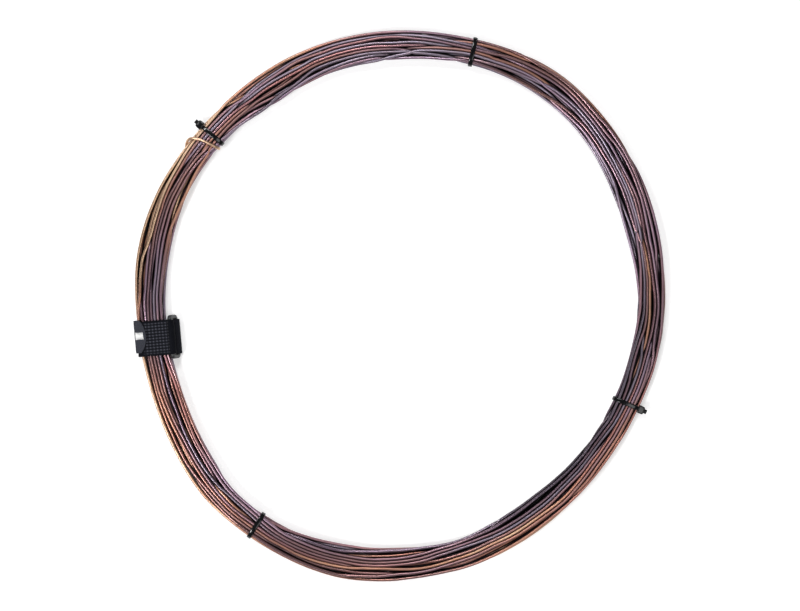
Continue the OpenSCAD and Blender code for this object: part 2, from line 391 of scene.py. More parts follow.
def draw_out_bends(x, shape):
    """The sharp bends that are left are drawn out into long crossings: a wire is hot at a sharp bend and near
    it, cools slowly, and while it is hot it straightens more and is pushed less."""
    heat = np.zeros(TURNS * PER_TURN)
    for _ in range(BEND_ROUNDS):
        p = x.reshape(-1, 2)
        bend = np.zeros(len(p))
        bend[1:-1] = np.sqrt(((p[2:] - 2 * p[1:-1] + p[:-2]) ** 2).sum(1))
        near = np.clip(np.convolve((bend > KINK).astype(float), hump(9), "same"), 0, 1)
        heat = np.maximum(heat * COOLING, near)
        p = p + (0.25 + 0.7 * heat)[:, None] * (smooth_line(p, 2) - p)
        x = p.reshape(x.shape)
        soft = (1 - 0.75 * heat).reshape(TURNS, PER_TURN)
        for _ in range(2):
            x = push_apart(x, shape, soft)
    return x


def fill_outline(x):
    """Draws the outermost wires out to the bundle's sides, where they have sunk in."""
    limits, _ = sections(station_angles(PER_TURN))
    reach = limits[0, :, 0]
    kernel = hump(5) / hump(5).sum()
    for side in (1, -1):
        most = (x[..., 0] * side).max(0)
        short = np.convolve(np.pad(np.clip(reach - most, 0, 2), 5, "wrap"), kernel, "valid") + EDGE
        part = np.clip(x[..., 0] * side / most, 0, 1) ** 2
        x[..., 0] += side * short * part
    return x


def eased(values, reach=6):
    """The largest of the values within reach stations, run together smoothly along the wire."""
    ends = np.pad(values, 2 * reach)
    most = np.lib.stride_tricks.sliding_window_view(ends, 2 * reach + 1).max(-1)
    return np.convolve(most, hump(reach) / hump(reach).sum(), "valid")


def close_slits(x):
    """Where one could see the floor between two wires, from straight above or from the camera, the one nearer
    to the bundle's middle moves out and shuts the slit."""
    stations = np.arange(PER_TURN)
    for lean in (0, VIEW_LEAN) * SLIT_ROUNDS:
        seen = x[..., 0] + lean * x[..., 1]
        order = np.argsort(seen, 0)
        line = np.take_along_axis(seen, order, 0)
        slit = np.diff(line, axis=0) - WIRE_D + OVERLAP
        outer = line[1:] + line[:-1] > 0
        for side in (1, -1):
            move = np.zeros(x.shape[:2])
            for k in range(TURNS - 1):
                wide = np.where(outer[k] == (side > 0), np.clip(slit[k], 0, None), 0)
                move[order[k if side > 0 else k + 1], stations] += wide
            x[..., 0] += side * eased(move.ravel()).reshape(x.shape[:2])
    return x


# section angles between which the free end goes over the bundle
TAIL_FROM, TAIL_TO = -40, 250
# how far out of the bundle the free end lies, at shares of its length
TAIL_OUT = ((0, -0.7), (0.08, 0.6), (0.22, WIRE_R + TAIL_BULGE), (0.42, 0.94 * WIRE_R), (0.85, 0.94 * WIRE_R),
            (1, -0.6))


def tail_path():
    """The wire's free end, from inside the bundle to its tip (mm): it turns once over the bundle's top."""
    u = np.linspace(0.03, 1, 90)
    a = TAIL_A + TAIL_RUN * (1 - u) ** 3
    return place(a, shell(a, TAIL_FROM + (TAIL_TO - TAIL_FROM) * u, np.interp(u, *zip(*TAIL_OUT))))


def joined(p, q):
    """Points of a smooth curve from the end of line p to the start of line q."""
    a, b = p[-1], q[0]
    reach = np.linalg.norm(b - a)
    va = (p[-1] - p[-3]) / np.linalg.norm(p[-1] - p[-3]) * reach
    vb = (q[2] - q[0]) / np.linalg.norm(q[2] - q[0]) * reach
    t = np.linspace(0, 1, JOINT + 2)[1:-1, None]
    return ((2 * t ** 3 - 3 * t ** 2 + 1) * a + (t ** 3 - 2 * t ** 2 + t) * va
            + (3 * t ** 2 - 2 * t ** 3) * b + (t ** 3 - t ** 2) * vb)


def tube(name, centre, radius, sides):
    """A round wire along points [n, 3] in mm, with UV u along it in m and v round it."""
    tangent = directions(centre)
    normal = np.empty_like(centre)
    n = np.cross(tangent[0], (0, 0, 1.0))
    for i, t in enumerate(tangent):
        n = n - t * (n @ t)
        n = n / math.sqrt(n @ n)
        normal[i] = n
    rings = round_rings(centre, normal, np.cross(tangent, normal), radius, sides)
    faces, uv = grid_faces(len(centre), sides)
    length = distances(centre)
    uv[..., 0] = length[uv[..., 0].astype(int)] * MM
    uv[..., 1] /= sides
    faces = [tuple(f) for f in faces]
    rims, rim_uv = [], []
    for end in (0, len(centre) - 1):
        # a rim drawn in a little, then a flat cut face
        base = end * sides
        rim = centre[end] + 0.86 * (rings[end] - centre[end]) + (0.12 if end else -0.12) * tangent[end]
        first = rings.size // 3 + len(rims)
        rims += list(rim * MM)
        for j in range(sides):
            k = (j + 1) % sides
            quad = (base + j, base + k, first + k, first + j)
            faces.append(quad if end else quad[::-1])
            rim_uv += [(length[end] * MM, j / sides)] * 4
        cap = tuple(first + j for j in range(sides))
        faces.append(cap if end else cap[::-1])
        rim_uv += [(length[end] * MM, 0)] * sides
    verts = np.vstack([rings.reshape(-1, 3) * MM, rims])
    return new_object(name, verts, faces, np.vstack([uv.reshape(-1, 2), rim_uv]))


# -------------------- the wire's tones
# tone: 0 slate, 0.3 mauve, 0.6 brown, 1 tan; it changes slowly along the wire, and the turns on the left and
# along the bottom have kept more of the bright copper
# (coil angle, arc to each side, side of the bundle: 1 outer, -1 inner, amount)
TONES = ((26, 12, 1, 0.14), (58, 14, -1, 0.10), (84, 20, 1, -0.20), (114, 14, 1, 0.26), (156, 40, 1, 0.66),
         (154, 24, -1, 0.46), (203, 26, 1, 0.66), (206, 20, -1, 0.42), (228, 20, 1, 0.38), (258, 36, 1, 0.34),
         (262, 30, -1, 0.14), (298, 28, 1, 0.52), (326, 22, 1, 0.36), (350, 20, 1, -0.06),
         (348, 20, -1, -0.06), (312, 26, -1, -0.12), (28, 30, 1, -0.26), (28, 30, -1, -0.26),
         (88, 30, -1, -0.24))
# painted shade across the bundle, painted light where the amount is below 0: coil angle, arc to each side,
# amount
SECTOR_SHADE = ((276, 18, 0.12), (32, 14, 0.12), (356, 26, 0.14), (62, 18, -0.20))
# and painted shade on the inner wires at the lower right: coil angle, arc to each side, amount
INNER_SHADE = (318, 48, 0.56)


def round_coil(points):
    """Coil angles of points in space (mm), and how far out they lie: 0 the bundle's middle, 1 its edge."""
    a = np.degrees(np.arctan2(points[:, 1], points[:, 0]))
    return a, (np.hypot(points[:, 0], points[:, 1]) - rad(a)) / half_w(a)


def wire_tones(path, tail_count):
    """The tone of each point of the wire's middle line; the free end is the brightest."""
    rng = np.random.default_rng(21)
    count = len(path)
    slow, quick = drift(rng, count, knots=3.0, dims=1), drift(rng, count, knots=11.0, dims=1)
    tone = 0.25 + 0.22 * slow[:, 0] + 0.08 * quick[:, 0]
    a, off = round_coil(path)
    tone += 0.15 * off
    for c, arc, side, amount in TONES:
        tone += amount * bump(a, c, arc) / (1 + np.exp(-(side * off - 0.15) * 7))
    tone[:tail_count] = 1.0
    return tone


def depth_between(x, points):
    """How deep points (mm) lie in the gaps between the turns, from 0 to 1, seen from the side where they are
    most open: for each side, the mean level of the turns within 1.2 mm, less the point's own height."""
    a = np.degrees(np.arctan2(points[:, 1], points[:, 0]))
    own = np.stack([np.hypot(points[:, 0], points[:, 1]) - rad(a), points[:, 2] - mid_z(a)], -1)
    station = np.rint((a - START) % 360 / 360 * PER_TURN).astype(int) % PER_TURN
    span, step, reach, nothing = 12, 0.2, 1.2, -99
    grid = np.arange(-span, span + 0.01, step)
    near = np.ones(2 * round(reach / step) + 1)
    painted_shade = np.full(len(points), np.inf)
    for axis in (0, 1):
        slot = np.clip(np.rint((own[:, 1 - axis] + span) / step).astype(int), 0, len(grid) - 1)
        off = grid[None, None] - x[:, :, 1 - axis, None]
        hit = np.abs(off) < WIRE_R
        rise = np.sqrt(np.clip(WIRE_R ** 2 - off ** 2, 0, 1))
        for side in (1, -1):
            top = np.where(hit, side * x[:, :, axis, None] + rise, nothing).max(0)
            full = (top > nothing).astype(float)
            level = [np.convolve(t * f, near, "same") / np.maximum(np.convolve(f, near, "same"), 1)
                     for t, f in zip(top, full)]
            painted_shade = np.minimum(painted_shade, np.array(level)[station, slot] - side * own[:, axis])
    return np.clip(painted_shade, 0, 1)


def wire_painted_shade(obj, tail_count, lay):
    """How much painted shade each vertex gets, from 0 to 1: in the gaps between the turns, and by coil angle.
    """
    points = np.array([v.co for v in obj.data.vertices]) / MM
    # painted shade in the gaps between the turns, from how deep each vertex lies
    painted_shade = depth_between(lay, points)
    # the free end lies on top, down to where it dips in between the turns
    painted_shade[:WIRE_SIDES * (tail_count - 10)] = 0
    a, off = round_coil(points)
    # painted shade on the inner wires at the lower right
    c, arc, amount = INNER_SHADE
    painted_shade += amount * bump(a, c, arc) * np.clip(0.25 - off, 0, 0.70)
    # painted shade by coil angle, and painted light where the amount is below 0
    for c, arc, amount in SECTOR_SHADE:
        painted_shade += amount * bump(a, c, arc)
    return np.clip(painted_shade, 0, 1)


# -------------------- materials
def material(name):
    """A new node material with an empty principled shader."""
    mat = bpy.data.materials.new(name)
    mat.use_nodes = True
    tree = mat.node_tree
    tree.nodes.clear()
    out = tree.nodes.new("ShaderNodeOutputMaterial")
    shader = tree.nodes.new("ShaderNodeBsdfPrincipled")
    tree.links.new(shader.outputs[0], out.inputs[0])
    return mat, tree, shader


def feed(tree, n, inputs):
    """Sets each of these inputs of node n to a value, or links it to a socket."""
    for k, v in inputs.items():
        if isinstance(v, bpy.types.NodeSocket):
            tree.links.new(v, n.inputs[k])
        else:
            n.inputs[k].default_value = v


def node(tree, kind, inputs=None, **props):
    """A node with its properties set, then its inputs."""
    n = tree.nodes.new(kind)
    for k, v in props.items():
        setattr(n, k, v)
    feed(tree, n, inputs or {})
    return n


def attribute(tree, name):
    return node(tree, "ShaderNodeAttribute", attribute_name=name).outputs["Fac"]


def grey(value):
    return (value, value, value)


def srgb(r, g, b):
    return tuple(c / 12.92 if c <= 0.04045 else ((c + 0.055) / 1.055) ** 2.4 for c in (r, g, b))


def ramp(tree, fac, stops):
    """Colours at given places from 0 to 1."""
    n = node(tree, "ShaderNodeValToRGB", {"Fac": fac})
    n.color_ramp.interpolation = "LINEAR"
    while len(n.color_ramp.elements) < len(stops):
        n.color_ramp.elements.new(0.5)
    for e, (pos, col) in zip(n.color_ramp.elements, stops):
        e.position = pos
        e.color = (*col, 1)
    return n.outputs[0]


def maths(tree, operation, *values):
    return node(tree, "ShaderNodeMath", dict(enumerate(values)), operation=operation).outputs[0]


def noise(tree, vector, scale, detail=2.0, roughness=0.5):
    return node(tree, "ShaderNodeTexNoise",
                {"Vector": vector, "Scale": scale, "Detail": detail, "Roughness": roughness}).outputs["Fac"]


def spread_to(tree, value, low, high):
    return node(tree, "ShaderNodeMapRange", {"Value": value, "To Min": low, "To Max": high}).outputs[0]


def mixed(tree, factor, first, second):
    """Colour first turning into colour second; inputs 6 and 7 and output 2 of the node are its colours."""
    return node(tree, "ShaderNodeMix", {0: factor, 6: first, 7: second}, data_type="RGBA").outputs[2]


def raise_by(tree, shader, height, strength, distance):
    dent = node(tree, "ShaderNodeBump", {"Height": height, "Strength": strength, "Distance": distance})
    tree.links.new(dent.outputs[0], shader.inputs["Normal"])


def copper():
    """Copper wire with its purple and brown oxide, which keeps its tone along the wire, and painted shade."""
    mat, tree, shader = material("copper_oxidised")
    uv = node(tree, "ShaderNodeUVMap").outputs[0]

    def patches(along, around, detail=2.0, roughness=0.6):
        """Noise with so many changes in a metre of the wire, and once round it."""
        scaled = node(tree, "ShaderNodeVectorMath", {0: uv, 1: (along, around, 1.0)}, operation="MULTIPLY")
        return noise(tree, scaled.outputs[0], 1.0, detail, roughness)

    blotch = patches(60.0, 1.5, 3.0)
    streak = patches(90.0, 14.0, roughness=0.5)
    speck = patches(260.0, 5.0, 3.0, 0.65)
    fac = maths(tree, "MULTIPLY_ADD", blotch, 0.26, attribute(tree, "tone"))
    fac = maths(tree, "MULTIPLY_ADD", streak, 0.16, fac)
    fac = maths(tree, "SUBTRACT", fac, 0.21)
    colour = ramp(tree, fac, [
        (0.00, srgb(0.54, 0.505, 0.575)),
        (0.20, srgb(0.565, 0.48, 0.565)),
        (0.38, srgb(0.58, 0.45, 0.49)),
        (0.54, srgb(0.58, 0.43, 0.42)),
        (0.70, srgb(0.66, 0.46, 0.40)),
        (0.86, srgb(0.79, 0.58, 0.47)),
        (1.00, srgb(0.85, 0.71, 0.58)),
    ])
    worn_and_shaded = mixed(tree, spread_to(tree, speck, -0.5, 0.9), colour, (*srgb(0.60, 0.50, 0.49), 1))
    # lengths of the wire that are redder, and lengths that have gone nearly black
    flushed = ramp(tree, patches(2.9, 0.0), [(0.56, grey(0)), (0.66, grey(0.6))])
    worn_and_shaded = mixed(tree, flushed, worn_and_shaded, (*srgb(0.68, 0.43, 0.37), 1))
    aged = ramp(tree, patches(3.7, 0.0), [(0.30, grey(0.62)), (0.48, grey(0))])
    worn_and_shaded = mixed(tree, aged, worn_and_shaded, (0.035, 0.026, 0.032, 1))
    # painted shade in the gaps between the turns, mixed towards near-black
    gap_shade = ramp(tree, attribute(tree, "painted_shade"), [(0.02, grey(0)), (0.52, grey(1))])
    worn_and_shaded = mixed(tree, gap_shade, worn_and_shaded, (0.003, 0.002, 0.003, 1))
    # some lengths are shinier than others
    polished = ramp(tree, patches(4.3, 0.0), [(0.38, grey(0.12)), (0.6, grey(0.33))])
    feed(tree, shader, {"Base Color": worn_and_shaded, "Metallic": 0.8, "Specular IOR Level": 0.3,
                        "Roughness": maths(tree, "MULTIPLY_ADD", streak, 0.16, polished)})
    raise_by(tree, shader, streak, 0.12, 0.00005)
    return mat


def moulded(name, dark, light, shine, wide=420.0, fine=3200.0, gloss=0.5):
    """Moulded black plastic with a faint grain; shine is its range of roughness."""
    mat, tree, shader = material(name)
    pos = node(tree, "ShaderNodeTexCoord").outputs["Object"]
    colour = ramp(tree, noise(tree, pos, wide, 3.0), [(0.3, dark), (0.7, light)])
    grain = noise(tree, pos, fine)
    feed(tree, shader, {"Base Color": colour, "Roughness": spread_to(tree, grain, *shine),
                        "Specular IOR Level": gloss})
    raise_by(tree, shader, grain, 0.3, 0.00003)
    return mat


def woven(name, dark, light, thread_size, sheen, fuzz_and_glint=None):
    """Woven tape, u along it and v across it in metres; the last colour is its loops' fuzz and hooks' painted
    glint.
    """
    mat, tree, shader = material(name)
    uv = node(tree, "ShaderNodeUVMap").outputs[0]
    turn = 2 * math.pi / thread_size
    part = node(tree, "ShaderNodeSeparateXYZ", {"Vector": uv})
    along = maths(tree, "SINE", maths(tree, "MULTIPLY", part.outputs[0], turn))
    across = maths(tree, "SINE", maths(tree, "MULTIPLY", part.outputs[1], turn * 1.2))
    weave = maths(tree, "MULTIPLY_ADD", maths(tree, "MULTIPLY", along, across), 0.5, 0.5)
    fuzz = noise(tree, uv, 5200.0, 3.0, 0.7)
    wide = noise(tree, uv, 380.0, 2.0)
    threads = maths(tree, "MULTIPLY_ADD", fuzz, 0.6, maths(tree, "MULTIPLY", weave, 0.4))
    threads = maths(tree, "MULTIPLY_ADD", wide, 0.35, maths(tree, "SUBTRACT", threads, 0.17))
    colour = ramp(tree, threads, [(0.25, dark), (0.75, light)])
    if fuzz_and_glint:
        # painted glint: the hooks' tops take the lighter colour; on the part turned back it is the loops'
        # fuzz
        tufts = ramp(tree, fuzz, [(0.40, grey(0.15)), (0.62, grey(1.6))])
        pile_and_glint = maths(tree, "MULTIPLY", attribute(tree, "pile_and_glint"), tufts)
        colour = mixed(tree, pile_and_glint, colour, (*fuzz_and_glint, 1))
    feed(tree, shader, {"Base Color": colour, "Roughness": 0.85, "Specular IOR Level": 0.06,
                        "Sheen Weight": sheen, "Sheen Roughness": 0.5})
    raise_by(tree, shader, threads, 0.6, 0.00012)
    return mat


NYLON = moulded("tie_nylon", (0.0015, 0.0015, 0.002), (0.005, 0.005, 0.006), (0.09, 0.17), gloss=0.4)
PLASTIC = moulded("buckle_plastic", (0.016, 0.017, 0.018), (0.032, 0.033, 0.035), (0.34, 0.50), 300.0, 2400.0)
FABRIC = woven("strap_woven", (0.0015, 0.0017, 0.0028), (0.0075, 0.0082, 0.012), 0.0009, 0.01,
               fuzz_and_glint=(0.125, 0.130, 0.160))
PALE_THREAD = woven("thread_pale", (0.72, 0.72, 0.72), (0.92, 0.92, 0.91), 0.0005, 0.2)
DARK_THREAD = woven("thread_dark", (0.012, 0.012, 0.014), (0.050, 0.050, 0.055), 0.0005, 0.2)


# -------------------- the wire
def build_wire():
    """The wire, from the tip of its free end to its hidden end, with its tone and darkness at each vertex."""
    lay = close_slits(fill_outline(wind_wire()))
    lay[..., 0] += loose_edges(station_angles(PER_TURN))[1]
    th = START + 360 * np.arange(TURNS * PER_TURN) / PER_TURN
    # the first few stations make room for the joint with the free end
    run = place(th, lay.reshape(-1, 2))[5:]
    tail = tail_path()[::-1]
    tail[1:-1] = smooth_line(tail, 14)[1:-1]
    tail_count = len(tail) + JOINT
    path = np.vstack([tail, joined(tail, run), run])
    wire = tube("copper_turns", path, WIRE_R, WIRE_SIDES)
    caps = len(wire.data.vertices) - WIRE_SIDES * len(path)
    tone = np.concatenate([np.repeat(wire_tones(path, tail_count), WIRE_SIDES), np.ones(caps)])
    set_values(wire, "tone", tone)
    # painted shade: how dark each vertex is painted, in the gaps between the turns and by coil angle
    set_values(wire, "painted_shade", wire_painted_shade(wire, tail_count, lay))
    wire.data.materials.append(copper())
    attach(wire, "root")
    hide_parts("wire_coil")


build_wire()


# -------------------- sweeps along a line
def left_normals(points):
    """Unit normals to the left of a line of 2-D points."""
    v = directions(points)
    return np.stack([-v[:, 1], v[:, 0]], -1)


def loop_normals(loop):
    """Unit normals to the left of a closed line of 2-D points."""
    return left_normals(np.vstack([loop[-3:], loop, loop[:3]]))[3:-3]


def resample(points, spacing, smoothing=0):
    """Points at even distances along a line."""
    d = distances(points)
    s = np.linspace(0, d[-1], max(3, int(round(d[-1] / spacing)) + 1))
    p = np.stack([np.interp(s, d, points[:, k]) for k in range(points.shape[1])], -1)
    return smooth_line(p, smoothing)


def closed_line(points, spacing):
    """Points at even distances along a closed line."""
    return resample(np.vstack([points, points[:1]]), spacing)[:-1]


def squircle(half_a, half_b, count, power=5.0):
    t = 2 * np.pi * (np.arange(count) + 0.5) / count
    return np.stack([half_a * spow(np.cos(t), 2 / power), half_b * spow(np.sin(t), 2 / power)], -1)


def swept(rings, closed, cap=True):
    """Verts, faces and UVs of rings [n, m, 3] joined in turn; closed joins the last to the first."""
    n, m = rings.shape[:2]
    loop = np.concatenate([rings, rings[:1]]) if closed else rings
    faces, uv = grid_faces(len(loop), m)
    if closed:
        faces = np.where(faces >= n * m, faces - n * m, faces)
    faces = [tuple(int(v) for v in f) for f in faces]
    length = distances(loop.mean(1)) * MM
    girth = np.linalg.norm(np.roll(rings[0], -1, 0) - rings[0], axis=1).sum() * MM
    uv[..., 0] = length[uv[..., 0].astype(int)]
    uv[..., 1] = uv[..., 1] / m * girth
    uvs = uv.reshape(-1, 2).tolist()
    if cap and not closed:
        faces += [tuple(range(m))[::-1], tuple((n - 1) * m + j for j in range(m))]
        uvs += [(0, 0)] * (2 * m)
    return rings.reshape(-1, 3).tolist(), faces, uvs


def bar_along(loop, normal, section, flat=(0, 1)):
    """Verts, faces and UVs of a bar round a closed line that lies flat in the plane of two axes."""
    rings = np.empty((len(loop), len(section), 3))
    rings[..., flat] = loop[:, None] + section[None, :, :1] * normal[:, None]
    rings[..., 3 - sum(flat)] = section[None, :, 1]
    return swept(rings, True)


def turned_out(faces):
    """The faces looking the other way."""
    return [f[::-1] for f in faces]


class Parts:
    """Gathers meshes, in mm in a local frame, into one object."""

    def __init__(self):
        self.verts, self.faces, self.uvs, self.mats = [], [], [], []

    def add(self, verts, faces, uvs=None, mat=0):
        base = len(self.verts)
        self.verts += [tuple(v) for v in verts]
        self.faces += [tuple(base + i for i in f) for f in faces]
        self.uvs += uvs if uvs is not None else [(0.0, 0.0)] * sum(len(f) for f in faces)
        self.mats += [mat] * len(faces)

    def build(self, name, matrix, materials):
        world = [tuple((matrix @ Vector(v)) * MM) for v in self.verts]
        obj = new_object(name, world, self.faces, self.uvs)
        for m in materials:
            obj.data.materials.append(m)
        obj.data.polygons.foreach_set("material_index", self.mats)
        return obj


def sharpen(obj, degrees=40):
    """Smooth shading, with edges over this angle kept sharp."""
    bpy.context.view_layer.objects.active = obj
    obj.select_set(True)
    bpy.ops.object.shade_smooth_by_angle(angle=math.radians(degrees))
    obj.select_set(False)


# -------------------- cable ties
# how far each tie is turned aside, in degrees
SKEW = {"tie_top": 4.0, "tie_upper_left": 1.7, "tie_lower_left": 0.5, "tie_right": -0.3}
TIE_STEP = 0.35  # spacing of the band's rings
HEAD_CORNER, HEAD_EDGE = 0.7, 0.35  # rounding of the head's corners and of its edge at the bundle
HEAD_TOP = ((0.6, 0.12), (0.2, 0.3), (0, 0.6))  # its far edge: below the top, drawn in by
FLOOR_OUT = 0.05  # how far the head's inner face lies off the band
SLOT_L, SLOT_SIDE, SLOT_CORNER, SLOT_EDGE = 1.7, 0.2, 0.2, 0.25
# the pawl and a tooth of the band, seen along the coil: out of the bundle, along the band
PAWL, PAWL_W = ((0.9, -0.84), (0.9, -0.60), (2.3, -0.52), (2.5, -0.84)), 2.0
TOOTH, TOOTH_W, TOOTH_PITCH = ((0, 0.40), (0, 0.44), (0.36, 0.62), (0.44, 0.40)), 1.5, 0.55
PRISM_FACES = [(0, 1, 2, 3), (7, 6, 5, 4), (0, 4, 5, 1), (1, 5, 6, 2), (2, 6, 7, 3), (3, 7, 4, 0)]


def rounded_frame(half_y, half_z, corner, count=6):
    """Corner-rounded rectangle, [4 * count, 2]."""
    pts = []
    for cy, cz, start in ((1, 1, 0), (-1, 1, 90), (-1, -1, 180), (1, -1, 270)):
        for i in range(count):
            t = math.radians(start + 90 * i / (count - 1))
            pts.append((cy * (half_y - corner) + corner * math.cos(t),
                        cz * (half_z - corner) + corner * math.sin(t)))
    return np.array(pts)


def inset(loop, d):
    """A loop round (0, 0), drawn in by d at its sides."""
    return loop * (1 - d / np.abs(loop).max(0))


def prism(outline, width):
    """Points of a four-sided outline at both ends of a bar along the coil."""
    return np.array([(x, y, z) for z in (-width / 2, width / 2) for x, y in outline])


def tie_head(parts, turn, shift, stub):
    """The head: a rounded frame with a slot through it, the pawl, and the band's cut end with its teeth.
    In its own frame x points away from the bundle, y along the band and z along the coil."""
    def put(points):
        p = np.asarray(points, float)
        x, y = p[:, 0], p[:, 1]
        c, s = math.cos(turn), math.sin(turn)
        return np.stack([x * c - y * s + shift[0], x * s + y * c + shift[1], p[:, 2]], -1)

    outer = rounded_frame(HEAD_L / 2, HEAD_W / 2, HEAD_CORNER)
    slot = rounded_frame(SLOT_L / 2, TIE_W / 2 + SLOT_SIDE, SLOT_CORNER)
    rings = [(FLOOR_OUT, slot), (FLOOR_OUT, inset(outer, HEAD_EDGE)), (HEAD_EDGE, outer)]
    rings += [(HEAD_D - below, inset(outer, d)) for below, d in HEAD_TOP]
    rings += [(HEAD_D, inset(slot, -SLOT_EDGE)), (HEAD_D - SLOT_EDGE, slot), (FLOOR_OUT, slot)]
    loops = np.array([np.column_stack([np.full(len(loop), x), loop]) for x, loop in rings])
    verts, faces, uvs = swept(loops, False, cap=False)
    parts.add(put(verts), turned_out(faces), uvs)
    parts.add(put(prism(PAWL, PAWL_W)), PRISM_FACES)
    # the cut end, drawn in a little at its tip, with teeth
    long = HEAD_D - 0.1 + stub
    section = squircle(TIE_T / 2, TIE_W / 2, 24)
    x = np.concatenate([[0.3], np.linspace(0.4, long - 0.12, 8), [long]])
    scale = np.where(x > long - 0.1, 0.88, 1.0)
    rings = np.array([np.column_stack([np.full(24, xi), section * k]) for xi, k in zip(x, scale)])
    verts, faces, uvs = swept(rings, False)
    parts.add(put(verts), turned_out(faces), uvs)
    for xi in np.arange(0.9, long - 0.5, TOOTH_PITCH):
        parts.add(put(prism(TOOTH, TOOTH_W) + (xi, 0, 0)), turned_out(PRISM_FACES))


def make_tie(name, a, under, skew):
    """A tie's band round the bundle at coil angle a, and its head, underneath or on the outer side."""
    parts = Parts()
    t = np.linspace(0, 360, 181)[:-1]
    line = closed_line(shell(a, t, TIE_GAP + TIE_T / 2), TIE_STEP)
    normal = -loop_normals(line)
    parts.add(*bar_along(line, normal, squircle(TIE_T / 2, TIE_W / 2, 20, 4.0)))
    if under:
        tie_head(parts, math.radians(-90), (0, -float(half_h(a)) - TIE_GAP), 0.0)
    else:
        tie_head(parts, 0.0, (float(half_w(a)) + TIE_GAP, 0), STUB_OUT)
    obj = parts.build(name, at(a) @ Matrix.Rotation(math.radians(skew), 4, "Y"), [NYLON])
    sharpen(obj)
    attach(obj, "root")
    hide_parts(name.replace("_loop", ""))


for name, a in TIES.items():
    make_tie(name + "_loop", a, name in UNDER, SKEW[name])


# -------------------- strap and buckle
STRAP_STEP = 0.3  # spacing of the points along the strap
STRAP_SKEW = -2.6  # how far it is turned aside, in degrees
TIP_ASKEW, TIP_NARROW = 1.5, 0.55  # how far the tip lies askew, and by how much its half width narrows
TIP_RUN = 26  # length of strap over which it does so
HOOK_ALONG, HOOK_ACROSS = 1.85, 1.65  # pitch of the hooks
HOOK_MARGIN = 0.9  # the strap's edge without hooks
HOOKS_FROM, HOOKS_TO = -8.0, 5.0  # where they begin and end, out from the bundle's middle
RIB, KNOB = 0.20, 0.24  # height of the hooks' ribs and of the knobs where they cross
BACK_PILE, UNDER_PILE = 0.22, 0.10  # how much of the lighter pile colour shows on the part turned back, and below
TACK_BACK, TACK_STEPS, TACK_HALF = 1.6, 17, 2.0  # the bar tack: off the tip, stitches, half its width
SEAM_AT, SEAM_STITCH = 8.6, 1.64  # the seam: how far inward of the bundle's middle, and its stitches' pitch
TACK_THREAD, SEAM_THREAD = 0.17, 0.14  # radius of their threads
ACROSS = 64  # points across each face of the strap


def strap_bars():
    """Where the buckle's upper and lower bars lie in the frame at the strap."""
    w, h = float(half_w(STRAP_A)), float(half_h(STRAP_A))
    return (np.array((-w - UPPER_OUT, h - UPPER_DOWN)), np.array((-w - LOWER_OUT, -h + LOWER_UP)))


def strap_line():
    """The strap's middle line in the frame at the strap: sewn round the upper bar, over the bundle,
    underneath, round the lower bar and back on itself to the tip, whose place comes second."""
    layer_1 = STRAP_GAP + STRAP_T / 2
    layer_2 = layer_1 + STRAP_T + LAYER_GAP
    wrap = BAR_D / 2 + BAR_GAP + STRAP_T / 2
    upper, lower = strap_bars()

    def arc(centre, a0, a1, count):
        t = np.linspace(a0, a1, count + 1)
        return centre + wrap * np.stack([cosd(t), sind(t)], -1)

    def run(t0, t1, count, out):
        return shell(STRAP_A, np.linspace(t0, t1, count + 1), out)

    points = [arc(upper, SEWN_END, 95, 24), run(112, -162, 80, layer_1), arc(lower, 86, 262, 20),
              run(-128, TIP_AT, 60, layer_2)]
    return resample(np.vstack(points), STRAP_STEP, 3), shell(STRAP_A, TIP_AT, layer_2)


def strap_frame():
    """The strap goes over the bundle a little aslant."""
    return at(STRAP_A) @ Matrix.Rotation(math.radians(STRAP_SKEW), 4, "Y")


def ridge(u, pitch, width):
    """1 on lines pitch apart, falling to 0 over width."""
    d = np.abs((u / pitch + 0.5) % 1 - 0.5) * pitch
    return np.exp(-(d / width) ** 2)


